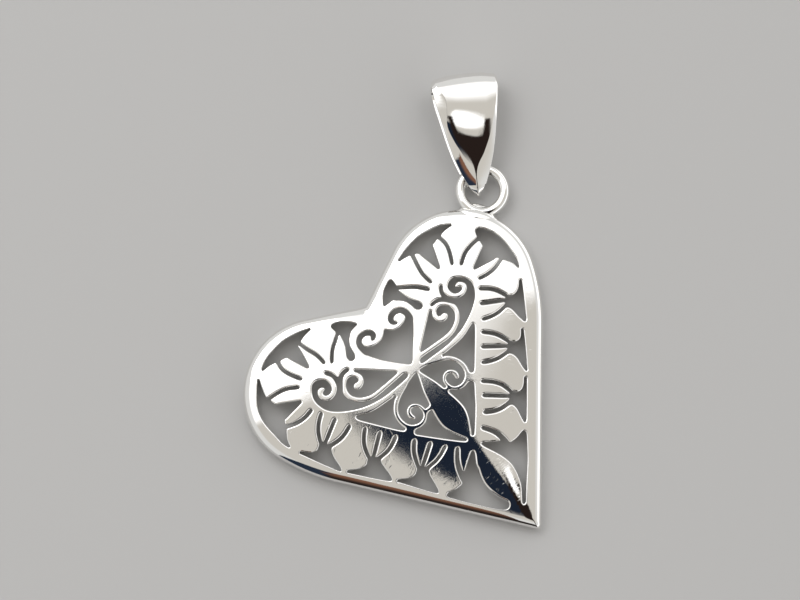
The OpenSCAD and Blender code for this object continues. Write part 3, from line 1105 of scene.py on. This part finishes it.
@dataclass
class FoldedBail:
    """The folded strip, with a crowned front and slanting side facets, closed round the ring at its tip."""

    place: HeartPlace = HeartPlace()
    tip: tuple[float, float] = (6.4, 17.55)
    turn: float = 7.2
    length: float = 12.6
    height: float = 4.2
    tip_height: float = 1.7
    wall: float = 0.55
    front: float = 0.65
    fold_reach: float = 2.0
    fold_crown: float = 0.45
    corner_back: float = 0.2
    tip_reach: float = 0.85
    tip_hollow: float = 1.5
    hollow_reach: float = 0.5
    facet_depth: float = 0.32
    back_facet: float = 0.25
    least_flat: float = 0.06
    front_crown: float = 0.028
    roll: float = -0.115
    roll_side: float = -2.4
    arch_power: float = 3.2
    edge_round: float = 0.1
    round_steps: int = 3
    weld: float = 0.002
    back_steps: int = 12
    front_steps: int = 30
    fold_degrees: int = 10
    tip_degrees: int = 15
    inside: int = 3
    panel: tuple[float, ...] = (1.0, 0.6, 0.3, 0.0, -0.3, -0.6, -1.0)
    stations: tuple[Station, ...] = (
        Station(0.0, 0.22, 0.16), Station(1.0, 0.78, 0.7), Station(2.0, 1.3, 1.22),
        Station(3.0, 1.67, 1.3), Station(4.0, 2.02, 0.98), Station(5.5, 2.38, 0.6),
        Station(7.0, 2.68, 0.4), Station(8.5, 2.95, 0.5, 0.3), Station(9.8, 3.2, 0.6, 0.45),
        Station(11.2, 3.34, 0.34, 0.15), Station(12.4, 3.36, 0.3, 0.05))

    @property
    def fold_start(self) -> float:
        """Distance from the tip at which the fold begins."""
        return self.length - self.fold_reach

    def rise(self, along: float) -> float:
        """Height of the front at a distance from the tip."""
        left = (self.fold_start - along) / self.fold_start
        return self.height - (self.height - self.tip_height) * left ** 2

    def size(self, along: float, name: str) -> float:
        """A station's value at a distance from the tip, blended smoothly between the stations.

        Args:
            along: distance from the tip.
            name: the station's field.

        Returns:
            The value.
        """
        rows = self.stations
        i = max(k for k in range(len(rows) - 1) if k == 0 or rows[k].along <= along)
        share = min(max((along - rows[i].along) / (rows[i + 1].along - rows[i].along), 0.0), 1.0)
        a, b, c, d = (getattr(rows[min(max(i + k, 0), len(rows) - 1)], name) for k in (-1, 0, 1, 2))
        return b + 0.5 * share * (c - a + share * (2 * a - 5 * b + 4 * c - d
                                                   + share * (3 * (b - c) + d - a)))

    def side(self, middle: float, reach: float, base: float, fold: float, under: float) -> list[Vector]:
        """One loop of the side view: along the back, round the fold, down the front, round the tip.

        Args:
            middle: where the tip's rounding is centred.
            reach: how far that rounding reaches.
            base: height of the back.
            fold: how far the fold reaches.
            under: how far below the front's surface the loop runs.

        Returns:
            Places along and up.
        """
        start = self.fold_start
        fold_level = (self.rise(start) - under + base) / 2
        tip_level = (self.rise(middle) - under + base) / 2
        length = start - middle
        back = [Vector((middle + length * i / self.back_steps, base)) for i in range(self.back_steps)]
        bent = [Vector((start + fold * math.cos(math.radians(a)),
                        fold_level + (fold_level - base) * math.sin(math.radians(a))))
                for a in range(-90, 91, self.fold_degrees)]
        down = [start - length * i / self.front_steps for i in range(1, self.front_steps + 1)]
        closed = [Vector((middle + reach * math.cos(math.radians(a)),
                          tip_level + (tip_level - base) * math.sin(math.radians(a))))
                  for a in range(90 + self.tip_degrees, 270, self.tip_degrees)]
        return back + bent + [Vector((v, self.rise(v) - under)) for v in down] + closed

    def section(self, out: Vector, into: Vector) -> list[Vector]:
        """The strip's section: three places inside, then the outside from the right edge to the left one.

        Args:
            out: a place of the outer loop, along and up.
            into: the place of the inner loop that faces it.

        Returns:
            Places in the bail's frame.
        """
        past = self.fold_crown * max(0.0, out.x - self.fold_start) / self.fold_reach
        between = out.lerp(into, self.facet_depth)
        upper = out.y > self.tip_height / 2
        wide = self.size(between.x, "half_width")
        facet = self.size(out.x, "facet") * (1.0 if upper else self.back_facet)
        flat = max(self.size(out.x, "half_width") - facet, self.least_flat)
        inner = self.size(into.x, "half_width")
        crown = self.front_crown * min(1.0, flat) if upper else 0.0
        lean = self.size(out.x, "lean") if upper else 0.0
        far = max(between.x, out.x - self.corner_back) - past
        spots = [(-inner, into.x - past, into.y), (0.0, into.x, into.y), (inner, into.x - past, into.y),
                 (wide, far, between.y)]
        for share in self.panel:
            x = share * flat + lean
            back = past * abs(x / wide) ** self.arch_power
            spots.append((x, out.x - back, out.y - crown * (x / flat) ** 2))
        spots.append((-wide, far, between.y))
        return [Vector((x, y, z + self.roll * (x - self.roll_side) * (z / self.height) ** 2))
                for x, y, z in spots]

    def build(self) -> bmesh.types.BMesh:
        """Builds the bail from its sections, joined round the loop and rounded along the sharp lines.

        Returns:
            The bail, in metres and in the row's frame.
        """
        outer = self.side(self.tip_reach, self.tip_reach, 0.0, self.fold_reach, 0.0)
        inner = self.side(self.tip_hollow, self.hollow_reach, self.wall, self.fold_reach - self.wall,
                          self.front)
        rows = [self.section(out, into) for out, into in zip(outer, inner)]
        shape = bmesh.new()
        column = shape.verts.layers.int.new("column")
        first = [shape.verts.new(spot) for spot in rows[0]]
        for i, vert in enumerate(first):
            vert[column] = i
            shape.edges.new((first[i - 1], vert))
        start = shape.edges[:]
        loop = start
        for row in rows[1:]:
            fresh, loop = extruded(shape, loop)
            for vert in fresh:
                vert.co = row[vert[column]]
        bmesh.ops.bridge_loops(shape, edges=start + loop)
        right, left = self.inside, self.inside + len(self.panel) + 1
        creased = {0, right - 1, right, right + 1, left - 1, left}
        edges = [edge for edge in shape.edges
                 if edge.verts[0][column] == edge.verts[1][column] and edge.verts[0][column] in creased]
        bmesh.ops.bevel(shape, geom=edges, offset=self.edge_round, offset_type="OFFSET", profile=0.5,
                        segments=self.round_steps, affect="EDGES", clamp_overlap=True, material=-1)
        bmesh.ops.remove_doubles(shape, verts=shape.verts[:], dist=self.weld)
        lay(shape, self.place.shifted @ Matrix.Translation((*self.tip, 0.0)) @ Matrix.Rotation(
            math.radians(self.turn), 4, "Z"))
        return shape

    def dressed(self, silver: bpy.types.Material) -> bpy.types.Object:
        """The strip in its finish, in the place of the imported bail.

        Args:
            silver: the finish.

        Returns:
            The piece.
        """
        bail = finish_mesh("bail_strip", self.build(), silver)
        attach(bail, "root")
        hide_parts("bail")
        return bail


# Studio

def grey(level: float) -> Colour:
    """A colour without a hue."""
    return (level, level, level, 1.0)


class Side(Enum):
    """The side of a place on which a soft edge bends away."""

    LEFT = "left"
    RIGHT = "right"


@dataclass(frozen=True)
class Sky:
    """What every part of the tent reads: the parts of a direction, and a soft ripple."""

    bench: Bench
    x: Wire
    y: Wire
    z: Wire
    ripple: Wire


@dataclass(frozen=True)
class SoftEdge:
    """A soft step across the tent, along a line that the weights give and that may bend on each side."""

    start: float
    end: float
    x: float = 0.0
    y: float = 0.0
    z: float = 0.0
    ripple: float = 0.0
    bends: tuple[tuple[Side, float, float], ...] = ()

    def cut(self, sky: Sky) -> Wire:
        """The step over the tent.

        Args:
            sky: the direction and the ripple.

        Returns:
            A wire that goes from 0 to 1 across the edge.
        """
        weights = {"x": self.x, "y": self.y, "z": self.z, "ripple": self.ripple}
        parts = [getattr(sky, name) * weight for name, weight in weights.items() if weight]
        for side, place, slope in self.bends:
            past = sky.x - place
            parts.append((past.least(0.0) if side is Side.LEFT else past.most(0.0)) * slope)
        line = parts[0]
        for part in parts[1:]:
            line = line + part
        return line.above(self.start, self.end)


@dataclass(frozen=True)
class Tent:
    """The white light tent round the silver, with its open front and the dark shapes beside the lens."""

    roof: Colour = grey(1.35)
    lining: Colour = (0.6, 0.575, 0.53, 1.0)
    roof_edge: SoftEdge = SoftEdge(0.09, 0.18, y=1.0, ripple=0.015,
                                   bends=((Side.LEFT, 0.0, -0.5), (Side.RIGHT, 0.0, -0.15)))
    sides: Colour = (0.72, 0.72, 0.71, 1.0)
    sides_edge: SoftEdge = SoftEdge(0.8, 0.6, z=1.0)
    strip: Colour = grey(1.4)
    strip_edges: tuple[SoftEdge, ...] = (SoftEdge(0.35, 0.6, x=1.0, ripple=0.1), SoftEdge(0.5, 0.3, z=1.0))
    lamp: Colour = grey(1.3)
    lamp_middle: tuple[float, float] = (0.235, -0.005)
    lamp_narrow: tuple[float, float] = (22.0, 13.0)
    lamp_fade: tuple[float, float] = (1.3, 0.6)
    front_levels: tuple[tuple[float, float], ...] = (
        (0.1, 0.92), (0.25, 0.72), (0.32, 0.6), (0.425, 0.48), (0.465, 0.9), (1.0, 0.95))
    front_ripple: float = 0.04
    front_fade: tuple[float, float] = (0.015, -0.015)
    front_low: Colour = (0.024, 0.018, 0.016, 1.0)
    front_brown: Colour = (0.22, 0.105, 0.065, 1.0)
    brown_edge: SoftEdge = SoftEdge(0.35, 0.85, z=1.0)
    front_navy: Colour = (0.02, 0.03, 0.05, 1.0)
    navy_edge: SoftEdge = SoftEdge(0.04, -0.04, x=1.0, y=-0.36, ripple=0.15)
    screen: Colour = (0.012, 0.018, 0.032, 1.0)
    screen_edges: tuple[SoftEdge, ...] = (
        SoftEdge(0.128, 0.126, y=1.0, ripple=0.012,
                 bends=((Side.LEFT, 0.0106, -1.2), (Side.RIGHT, 0.03, 1.4))),
        SoftEdge(-0.033644, -0.032244, x=1.0, y=-0.082, ripple=0.02),
        SoftEdge(0.1788, 0.1768, x=1.0, y=0.76, ripple=0.02),
        SoftEdge(0.18, 0.165, x=1.0), SoftEdge(0.9, 0.95, z=1.0))
    slot: Colour = (0.02, 0.013, 0.011, 1.0)
    slot_middle: float = 0.241
    slot_narrow: float = 24.5
    slot_lift: float = 0.12
    slot_most: float = 0.15
    slot_fade: tuple[float, float] = (-0.13, -0.14)
    slot_edges: tuple[SoftEdge, ...] = (SoftEdge(0.15, 0.17, x=1.0), SoftEdge(0.34, 0.32, x=1.0))

    @staticmethod
    def all_of(edges: Iterable[SoftEdge], sky: Sky) -> Wire:
        """Where every one of the edges has stepped up.

        Args:
            edges: the edges.
            sky: the direction and the ripple.

        Returns:
            The product of their steps.
        """
        first, *rest = (edge.cut(sky) for edge in edges)
        for step in rest:
            first = first * step
        return first

    def lamp_glow(self, sky: Sky) -> Wire:
        """The oval glow of a lamp behind the cloth."""
        across, up = ((part - middle) * narrow for part, middle, narrow in
                      zip((sky.x, sky.y), self.lamp_middle, self.lamp_narrow))
        return (across ** 2.0 + up ** 2.0).above(*self.lamp_fade)

    def open_front(self, sky: Sky) -> tuple[Wire, Wire]:
        """The open front, whose upper edge is read from a ramp across the tent.

        Args:
            sky: the direction and the ripple.

        Returns:
            Where it is open, and the dark colours that show there.
        """
        bench = sky.bench
        stops = tuple((place, grey(level)) for place, level in self.front_levels)
        edge = bench.wire(bench.node("ShaderNodeValToRGB", {"ramp": stops}, {"Fac": sky.x * 0.5 + 0.5}))
        dark = bench.mix(self.brown_edge.cut(sky), self.front_low, self.front_brown)
        dark = bench.mix(self.navy_edge.cut(sky), dark, self.front_navy)
        return (sky.y + edge + sky.ripple * self.front_ripple).above(*self.front_fade), dark

    def slot_shape(self, sky: Sky) -> Wire:
        """The dark slot, which is cut lower at its middle than at its sides."""
        away = (sky.x - self.slot_middle) * self.slot_narrow
        lift = (away ** 4.0 * self.slot_lift).least(self.slot_most)
        return (sky.y - lift).above(*self.slot_fade) * self.all_of(self.slot_edges, sky)

    def colours(self, sky: Sky) -> Wire:
        """The tent's colour in every direction.

        Args:
            sky: the direction and the ripple.

        Returns:
            The colour.
        """
        mix = sky.bench.mix
        tent = mix(self.roof_edge.cut(sky), self.lining, self.roof)
        tent = mix(self.sides_edge.cut(sky), tent, self.sides)
        tent = mix(self.all_of(self.strip_edges, sky), tent, self.strip)
        tent = mix(self.lamp_glow(sky), tent, self.lamp)
        opened, dark = self.open_front(sky)
        tent = mix(opened, tent, dark)
        tent = mix(self.all_of(self.screen_edges, sky), tent, self.screen)
        return mix(self.slot_shape(sky), tent, self.slot)


@dataclass(frozen=True)
class Studio:
    """Floor, light and camera."""

    floor_size: float = 1.2
    target: tuple[float, float, float] = (0.00067, -0.00014, 0.0022)
    distance: float = 0.3
    tilt: float = 8.5
    lens: float = 135.0
    clip: tuple[float, float] = (0.01, 10.0)
    ripple_scale: float = 5.0
    ripple_detail: float = 3.0
    lamp_size: tuple[float, float] = (0.5, 0.35)
    lamp_power: float = 0.8
    lamp_place: tuple[float, float, float] = (-0.25, 0.3, 0.45)

    def lay_floor(self) -> None:
        """Lays the plain pale floor."""
        shape = bmesh.new()
        bmesh.ops.create_grid(shape, x_segments=1, y_segments=1, size=self.floor_size)
        floor = finish_mesh("floor", shape, PaleFloor().make())
        floor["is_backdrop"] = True

    def set_camera(self) -> None:
        """Puts the camera above the pendant, tilted a little towards the heart's point."""
        data = bpy.data.cameras.new("camera")
        data.lens = self.lens
        data.clip_start, data.clip_end = self.clip
        camera = bpy.data.objects.new("camera", data)
        lean = math.radians(self.tilt)
        away = Vector((0.0, -math.sin(lean), math.cos(lean)))
        camera.location = Vector(self.target) + self.distance * away
        camera.rotation_euler = (lean, 0.0, 0.0)
        bpy.context.scene.collection.objects.link(camera)
        bpy.context.scene.camera = camera

    def set_world(self) -> None:
        """Puts the light tent round the scene."""
        world = bpy.data.worlds.new("tent")
        bpy.context.scene.world = world
        world.use_nodes = True
        world.node_tree.nodes.clear()
        bench = Bench(world.node_tree)
        way = bench.wire(bench.node("ShaderNodeTexCoord", {}, {}), "Generated")
        parts = bench.node("ShaderNodeSeparateXYZ", {}, {"Vector": way})
        x, y, z = (bench.wire(parts, axis) for axis in "XYZ")
        sky = Sky(bench, x, y, z, bench.noise(way, self.ripple_scale, self.ripple_detail) - 0.5)
        back = bench.node("ShaderNodeBackground", {}, {"Color": Tent().colours(sky), "Strength": 1.0})
        bench.node("ShaderNodeOutputWorld", {}, {"Surface": bench.wire(back)})

    def set_lights(self) -> None:
        """One large soft light from the upper left."""
        data = bpy.data.lights.new("soft_box", "AREA")
        data.shape = "RECTANGLE"
        data.size, data.size_y = self.lamp_size
        data.energy = self.lamp_power
        lamp = bpy.data.objects.new("soft_box", data)
        lamp.location = self.lamp_place
        lamp.rotation_euler = (-lamp.location).to_track_quat("-Z", "Y").to_euler()
        bpy.context.scene.collection.objects.link(lamp)

    def set_colours(self) -> None:
        """Plain display colours, so that white silver blows out as on a snapshot."""
        bpy.context.scene.view_settings.view_transform = "Standard"
        bpy.context.scene.view_settings.look = "None"


def spread(box: tuple) -> list[list[float]]:
    """A box's two corners as plain lists."""
    return [list(corner) for corner in box]


def main() -> None:
    """Sets the studio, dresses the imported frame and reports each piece."""
    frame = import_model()
    cad_box = spread(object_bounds())
    nodes = frame["nodes"]
    studio = Studio()
    studio.set_camera()
    studio.lay_floor()
    studio.set_world()
    studio.set_lights()
    studio.set_colours()
    heart_silver = Silver("polished_silver").make()
    bail_silver = Silver("bail_silver", colour=(0.95, 0.94, 0.92)).make()
    pieces = (HeartPlate().dressed(nodes["heart"], heart_silver), JumpRing().dressed(heart_silver),
              FoldedBail().dressed(bail_silver))
    for piece in pieces:
        log.info("%s: %d faces in %s", piece.name, len(piece.data.polygons), piece.data.materials[0].name)
    {"cad": cad_box, "visual": spread(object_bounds())}


if __name__ == "__main__":
    logging.basicConfig(level=logging.INFO)
    main()
